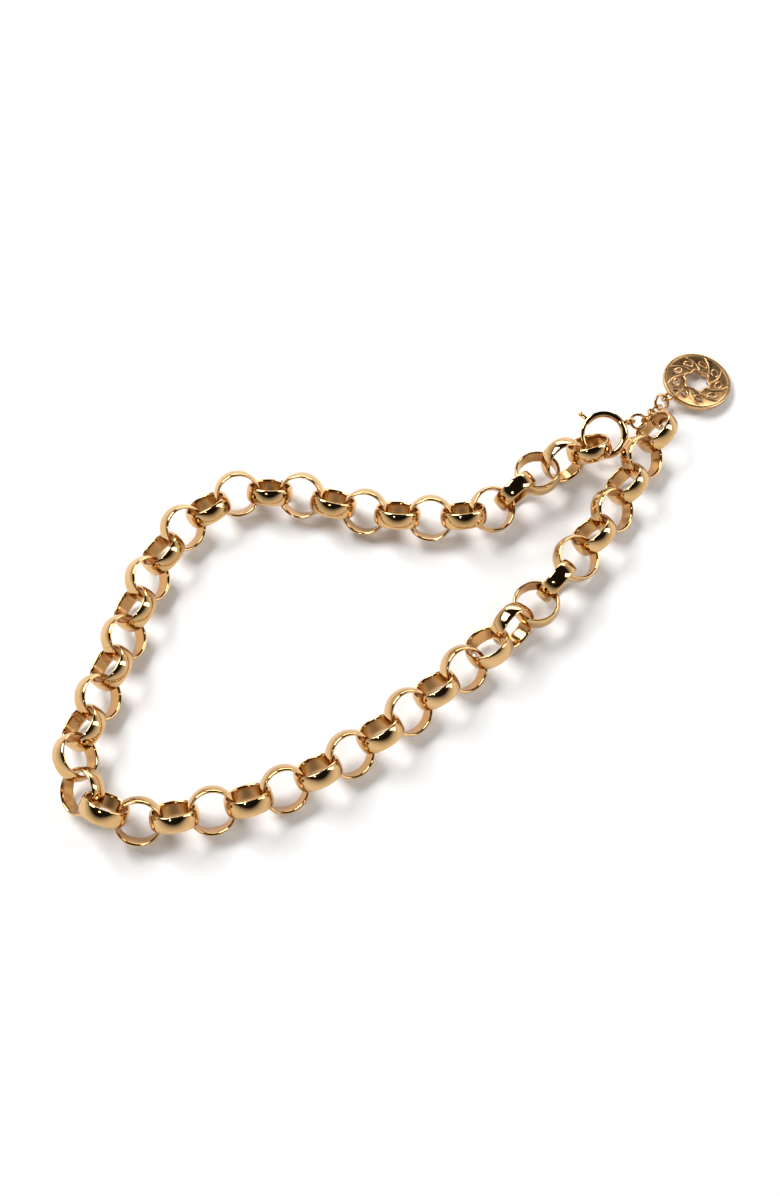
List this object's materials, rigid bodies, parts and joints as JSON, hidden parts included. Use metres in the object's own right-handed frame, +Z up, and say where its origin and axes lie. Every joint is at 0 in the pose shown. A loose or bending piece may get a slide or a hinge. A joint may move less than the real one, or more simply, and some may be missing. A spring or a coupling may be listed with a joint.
{
  "type": "chain necklace",
  "caption": "Short necklace of round half-round-section links with a spring-ring clasp and a pierced round tag on a fine chain, lying as a closed loop.",
  "frame": {"origin": "middle of the whole necklace as it lies, at the height of its lowest point", "axes": "+Z up from the table, +X along the longest side toward the clasp, +Y toward the back of the loop"},
  "size_m": [0.1702, 0.1394, 0.0136],
  "materials": {
    "link_gold": "highly polished yellow gold plate",
    "wire_gold": "polished gold plated wire",
    "tag_gold": "softly aged gold plate",
    "clasp_gold": "polished yellow gold plate",
    "spring_steel": "bare spring wire"
  },
  "bodies": {
    "link_01": {"link_01": "link_gold"},
    "link_02": {"link_02": "link_gold"},
    "link_03": {"link_03": "link_gold"},
    "link_04": {"link_04": "link_gold"},
    "link_05": {"link_05": "link_gold"},
    "link_06": {"link_06": "link_gold"},
    "link_07": {"link_07": "link_gold"},
    "link_08": {"link_08": "link_gold"},
    "link_09": {"link_09": "link_gold"},
    "link_10": {"link_10": "link_gold"},
    "link_11": {"link_11": "link_gold"},
    "link_12": {"link_12": "link_gold"},
    "link_13": {"link_13": "link_gold"},
    "link_14": {"link_14": "link_gold"},
    "link_15": {"link_15": "link_gold"},
    "link_16": {"link_16": "link_gold"},
    "link_17": {"link_17": "link_gold"},
    "link_18": {"link_18": "link_gold"},
    "link_19": {"link_19": "link_gold"},
    "link_20": {"link_20": "link_gold"},
    "link_21": {"link_21": "link_gold"},
    "link_22": {"link_22": "link_gold"},
    "link_23": {"link_23": "link_gold"},
    "link_24": {"link_24": "link_gold"},
    "link_25": {"link_25": "link_gold"},
    "link_26": {"link_26": "link_gold"},
    "link_27": {"link_27": "link_gold"},
    "link_28": {"link_28": "link_gold"},
    "link_29": {"link_29": "link_gold"},
    "link_30": {"link_30": "link_gold"},
    "link_31": {"link_31": "link_gold"},
    "link_32": {"link_32": "link_gold"},
    "link_33": {"link_33": "link_gold"},
    "link_34": {"link_34": "link_gold"},
    "link_35": {"link_35": "link_gold"},
    "link_36": {"link_36": "link_gold"},
    "link_37": {"link_37": "link_gold"},
    "link_38": {"link_38": "link_gold"},
    "link_39": {"link_39": "link_gold"},
    "link_40": {"link_40": "link_gold"},
    "link_41": {"link_41": "link_gold"},
    "link_42": {"link_42": "link_gold"},
    "link_43": {"link_43": "link_gold"},
    "link_44": {"link_44": "link_gold"},
    "link_45": {"link_45": "link_gold"},
    "link_46": {"link_46": "link_gold"},
    "end_ring": {"end_ring": "wire_gold"},
    "clasp_link_1": {"clasp_link_1": "wire_gold"},
    "clasp_link_2": {"clasp_link_2": "wire_gold"},
    "clasp": {"clasp_tube": "clasp_gold", "clasp_eye": "wire_gold", "clasp_spring": "spring_steel"},
    "bolt": {"clasp_bolt": "clasp_gold"},
    "tag_link_1": {"tag_link_1": "wire_gold"},
    "tag_link_2": {"tag_link_2": "wire_gold"},
    "tag_ring": {"tag_ring": "wire_gold"},
    "tag": {"tag": "tag_gold"}
  },
  "joints": [
    {"name": "link_23_swing", "type": "hinge", "parent": "link_24", "child": "link_23", "pos_m": [-0.07811, -0.05682, 0.0055], "axis": [-0.6082, -0.3217, 0.7256], "range_deg": [0, 40]},
    {"name": "link_22_swing", "type": "hinge", "parent": "link_23", "child": "link_22", "pos_m": [-0.08001, -0.04887, 0.00744], "axis": [-0.7609, -0.0238, -0.6484], "range_deg": [-40, 40]},
    {"name": "link_21_swing", "type": "hinge", "parent": "link_22", "child": "link_21", "pos_m": [-0.07888, -0.04071, 0.00581], "axis": [0.6347, -0.2347, -0.7362], "range_deg": [-40, 40]},
    {"name": "link_20_swing", "type": "hinge", "parent": "link_21", "child": "link_20", "pos_m": [-0.07608, -0.03278, 0.00569], "axis": [0.6976, -0.2359, 0.6766], "range_deg": [-40, 40]},
    {"name": "link_19_swing", "type": "hinge", "parent": "link_20", "child": "link_19", "pos_m": [-0.07343, -0.02481, 0.00574], "axis": [-0.6434, 0.2093, 0.7364], "range_deg": [-40, 40]},
    {"name": "link_18_swing", "type": "hinge", "parent": "link_19", "child": "link_18", "pos_m": [-0.07097, -0.01678, 0.00561], "axis": [-0.7071, 0.206, -0.6764], "range_deg": [-40, 40]},
    {"name": "link_17_swing", "type": "hinge", "parent": "link_18", "child": "link_17", "pos_m": [-0.06866, -0.0087, 0.00566], "axis": [0.6514, -0.1822, -0.7365], "range_deg": [-40, 40]},
    {"name": "link_16_swing", "type": "hinge", "parent": "link_17", "child": "link_16", "pos_m": [-0.06606, -0.00072, 0.00598], "axis": [0.6925, -0.2537, 0.6753], "range_deg": [-40, 40]},
    {"name": "link_15_swing", "type": "hinge", "parent": "link_16", "child": "link_15", "pos_m": [-0.06269, 0.00695, 0.00541], "axis": [-0.5996, 0.3181, 0.7344], "range_deg": [-40, 40]},
    {"name": "link_14_swing", "type": "hinge", "parent": "link_15", "child": "link_14", "pos_m": [-0.05788, 0.01378, 0.00638], "axis": [-0.5599, 0.489, -0.6689], "range_deg": [-40, 40]},
    {"name": "link_13_swing", "type": "hinge", "parent": "link_14", "child": "link_13", "pos_m": [-0.05185, 0.01957, 0.00556], "axis": [0.4134, -0.5348, -0.7369], "range_deg": [-40, 40]},
    {"name": "link_12_swing", "type": "hinge", "parent": "link_13", "child": "link_12", "pos_m": [-0.0445, 0.02342, 0.00689], "axis": [0.2536, -0.7097, 0.6573], "range_deg": [-40, 40]},
    {"name": "link_11_swing", "type": "hinge", "parent": "link_12", "child": "link_11", "pos_m": [-0.03638, 0.02475, 0.00519], "axis": [0.039, 0.6865, 0.7261], "range_deg": [-40, 40]},
    {"name": "link_10_swing", "type": "hinge", "parent": "link_11", "child": "link_10", "pos_m": [-0.02814, 0.02335, 0.00607], "axis": [0.1928, 0.7078, -0.6795], "range_deg": [-40, 40]},
    {"name": "link_09_swing", "type": "hinge", "parent": "link_10", "child": "link_09", "pos_m": [-0.02007, 0.02102, 0.00593], "axis": [-0.2014, -0.6493, -0.7334], "range_deg": [-40, 40]},
    {"name": "link_08_swing", "type": "hinge", "parent": "link_09", "child": "link_08", "pos_m": [-0.01196, 0.01885, 0.00561], "axis": [-0.1648, -0.7156, 0.6788], "range_deg": [-40, 40]},
    {"name": "link_07_swing", "type": "hinge", "parent": "link_08", "child": "link_07", "pos_m": [-0.00369, 0.01748, 0.00617], "axis": [0.0637, 0.679, 0.7314], "range_deg": [-40, 40]},
    {"name": "link_06_swing", "type": "hinge", "parent": "link_07", "child": "link_06", "pos_m": [0.00467, 0.01668, 0.00619], "axis": [0.071, 0.7279, -0.682], "range_deg": [-3, 0]},
    {"name": "link_05_swing", "type": "hinge", "parent": "link_06", "child": "link_05", "pos_m": [0.01301, 0.01683, 0.00722], "axis": [0.1026, -0.6854, -0.7209], "range_deg": [-45, 45]},
    {"name": "link_04_swing", "type": "hinge", "parent": "link_05", "child": "link_04", "pos_m": [0.02036, 0.01934, 0.00589], "axis": [0.2967, -0.4113, 0.8619], "range_deg": [0, 4]},
    {"name": "link_03_swing", "type": "hinge", "parent": "link_04", "child": "link_03", "pos_m": [0.02629, 0.0245, 0.00631], "axis": [-0.6497, 0.7296, 0.2133], "range_deg": [-3, 0]},
    {"name": "link_02_swing", "type": "hinge", "parent": "link_03", "child": "link_02", "pos_m": [0.03217, 0.02975, 0.00625], "axis": [0.0606, -0.0787, -0.9951], "range_deg": [-15, 0]},
    {"name": "link_01_swing", "type": "hinge", "parent": "link_02", "child": "link_01", "pos_m": [0.03896, 0.03375, 0.00635], "axis": [-0.4607, 0.7917, -0.4012], "range_deg": [-12, 0]},
    {"name": "link_25_swing", "type": "hinge", "parent": "link_24", "child": "link_25", "pos_m": [-0.07811, -0.05682, 0.0055], "axis": [-0.6082, -0.3217, 0.7256], "range_deg": [-40, 0]},
    {"name": "link_26_swing", "type": "hinge", "parent": "link_25", "child": "link_26", "pos_m": [-0.07219, -0.0622, 0.00808], "axis": [0.3656, 0.6979, 0.6158], "range_deg": [-40, 40]},
    {"name": "link_27_swing", "type": "hinge", "parent": "link_26", "child": "link_27", "pos_m": [-0.06438, -0.06428, 0.0058], "axis": [-0.0364, 0.6719, -0.7398], "range_deg": [-40, 40]},
    {"name": "link_28_swing", "type": "hinge", "parent": "link_27", "child": "link_28", "pos_m": [-0.05603, -0.06339, 0.0062], "axis": [0.1104, -0.733, -0.6712], "range_deg": [-40, 40]},
    {"name": "link_29_swing", "type": "hinge", "parent": "link_28", "child": "link_29", "pos_m": [-0.04734, -0.06166, 0.00574], "axis": [0.1695, -0.6515, 0.7395], "range_deg": [-40, 40]},
    {"name": "link_30_swing", "type": "hinge", "parent": "link_29", "child": "link_30", "pos_m": [-0.03881, -0.05923, 0.00592], "axis": [-0.2157, 0.7076, 0.6729], "range_deg": [-40, 40]},
    {"name": "link_31_swing", "type": "hinge", "parent": "link_30", "child": "link_31", "pos_m": [-0.03052, -0.05614, 0.00533], "axis": [-0.2816, 0.6147, -0.7368], "range_deg": [-40, 40]},
    {"name": "link_32_swing", "type": "hinge", "parent": "link_31", "child": "link_32", "pos_m": [-0.02267, -0.05203, 0.00576], "axis": [0.3705, -0.6386, -0.6745], "range_deg": [-40, 40]},
    {"name": "link_33_swing", "type": "hinge", "parent": "link_32", "child": "link_33", "pos_m": [-0.01513, -0.04736, 0.00548], "axis": [0.3752, -0.5614, 0.7376], "range_deg": [-40, 40]},
    {"name": "link_34_swing", "type": "hinge", "parent": "link_33", "child": "link_34", "pos_m": [-0.00799, -0.04211, 0.00584], "axis": [-0.4602, 0.578, 0.6739], "range_deg": [-40, 40]},
    {"name": "link_35_swing", "type": "hinge", "parent": "link_34", "child": "link_35", "pos_m": [-0.00115, -0.03646, 0.00567], "axis": [-0.4399, 0.511, -0.7385], "range_deg": [-40, 40]},
    {"name": "link_36_swing", "type": "hinge", "parent": "link_35", "child": "link_36", "pos_m": [0.00562, -0.03073, 0.00561], "axis": [0.4738, -0.5666, -0.6742], "range_deg": [-40, 40]},
    {"name": "link_37_swing", "type": "hinge", "parent": "link_36", "child": "link_37", "pos_m": [0.01236, -0.02511, 0.00563], "axis": [0.4306, -0.5188, 0.7386], "range_deg": [-40, 40]},
    {"name": "link_38_swing", "type": "hinge", "parent": "link_37", "child": "link_38", "pos_m": [0.01853, -0.01948, 0.00598], "axis": [-0.3903, 0.3745, 0.8411], "range_deg": [-2, 0]},
    {"name": "link_39_swing", "type": "hinge", "parent": "link_38", "child": "link_39", "pos_m": [0.02453, -0.01365, 0.00617], "axis": [-0.6592, 0.6876, -0.3044], "range_deg": [-40, 40]},
    {"name": "link_40_swing", "type": "hinge", "parent": "link_39", "child": "link_40", "pos_m": [0.03055, -0.00784, 0.00625], "axis": [0.0396, -0.0278, -0.9988], "range_deg": [0, 5]},
    {"name": "link_41_swing", "type": "hinge", "parent": "link_40", "child": "link_41", "pos_m": [0.0358, -0.00133, 0.00627], "axis": [-0.7612, 0.6129, 0.2119], "range_deg": [-40, 40]},
    {"name": "link_42_swing", "type": "hinge", "parent": "link_41", "child": "link_42", "pos_m": [0.04099, 0.00523, 0.00593], "axis": [0.3815, -0.2556, 0.8883], "range_deg": [-4, 0]},
    {"name": "link_43_swing", "type": "hinge", "parent": "link_42", "child": "link_43", "pos_m": [0.04587, 0.01202, 0.00579], "axis": [0.5937, -0.4408, -0.6732], "range_deg": [-3, 2]},
    {"name": "link_44_swing", "type": "hinge", "parent": "link_43", "child": "link_44", "pos_m": [0.05083, 0.01925, 0.00543], "axis": [-0.5732, 0.3554, -0.7383], "range_deg": [0, 5]},
    {"name": "link_45_swing", "type": "hinge", "parent": "link_44", "child": "link_45", "pos_m": [0.05511, 0.0269, 0.00579], "axis": [-0.6583, 0.3367, 0.6732], "range_deg": [-3, 8]},
    {"name": "link_46_swing", "type": "hinge", "parent": "link_45", "child": "link_46", "pos_m": [0.05928, 0.03461, 0.00601], "axis": [0.5833, -0.337, 0.739], "range_deg": [-5, 6]},
    {"name": "end_ring_swing", "type": "hinge", "parent": "link_46", "child": "end_ring", "pos_m": [0.06343, 0.04234, 0.00625], "axis": [-0.6602, 0.3333, 0.6731], "range_deg": [-6, 6]},
    {"name": "clasp_link_1_swing", "type": "hinge", "parent": "end_ring", "child": "clasp_link_1", "pos_m": [0.06388, 0.04748, 0.00415], "axis": [0.7467, 0.1944, 0.6361], "range_deg": [0, 8]},
    {"name": "clasp_link_2_swing", "type": "hinge", "parent": "clasp_link_1", "child": "clasp_link_2", "pos_m": [0.06178, 0.04611, 0.00704], "axis": [-0.3747, 0.9131, 0.1607], "range_deg": [-4, 2]},
    {"name": "clasp_swing", "type": "hinge", "parent": "clasp_link_2", "child": "clasp", "pos_m": [0.05894, 0.04496, 0.00697], "axis": [0.0407, -0.1569, 0.9868], "range_deg": [-2, 8]},
    {"name": "tag_link_1_swing", "type": "hinge", "parent": "end_ring", "child": "tag_link_1", "pos_m": [0.06388, 0.04748, 0.00415], "axis": [0.7467, 0.1944, 0.6361], "range_deg": [-35, 35]},
    {"name": "tag_link_2_swing", "type": "hinge", "parent": "tag_link_1", "child": "tag_link_2", "pos_m": [0.06429, 0.05096, 0.00261], "axis": [-0.6566, 0.3686, 0.658], "range_deg": [-35, 35]},
    {"name": "tag_ring_swing", "type": "hinge", "parent": "tag_link_2", "child": "tag_ring", "pos_m": [0.06607, 0.05342, 0.003], "axis": [0.4809, -0.4674, 0.7418], "range_deg": [-35, 35]},
    {"name": "tag_swing", "type": "hinge", "parent": "tag_ring", "child": "tag", "pos_m": [0.06851, 0.05568, 0.00284], "axis": [-0.4811, 0.5666, 0.669], "range_deg": [-35, 35]},
    {"name": "bolt_slide", "type": "hinge", "parent": "clasp", "child": "bolt", "pos_m": [0.04989, 0.0418, 0.00563], "axis": [0, 0.4226, -0.9063], "range_deg": [0, 70], "stiffness_Nm_per_rad": 0.004, "deforming": ["clasp_spring"]}
  ]
}
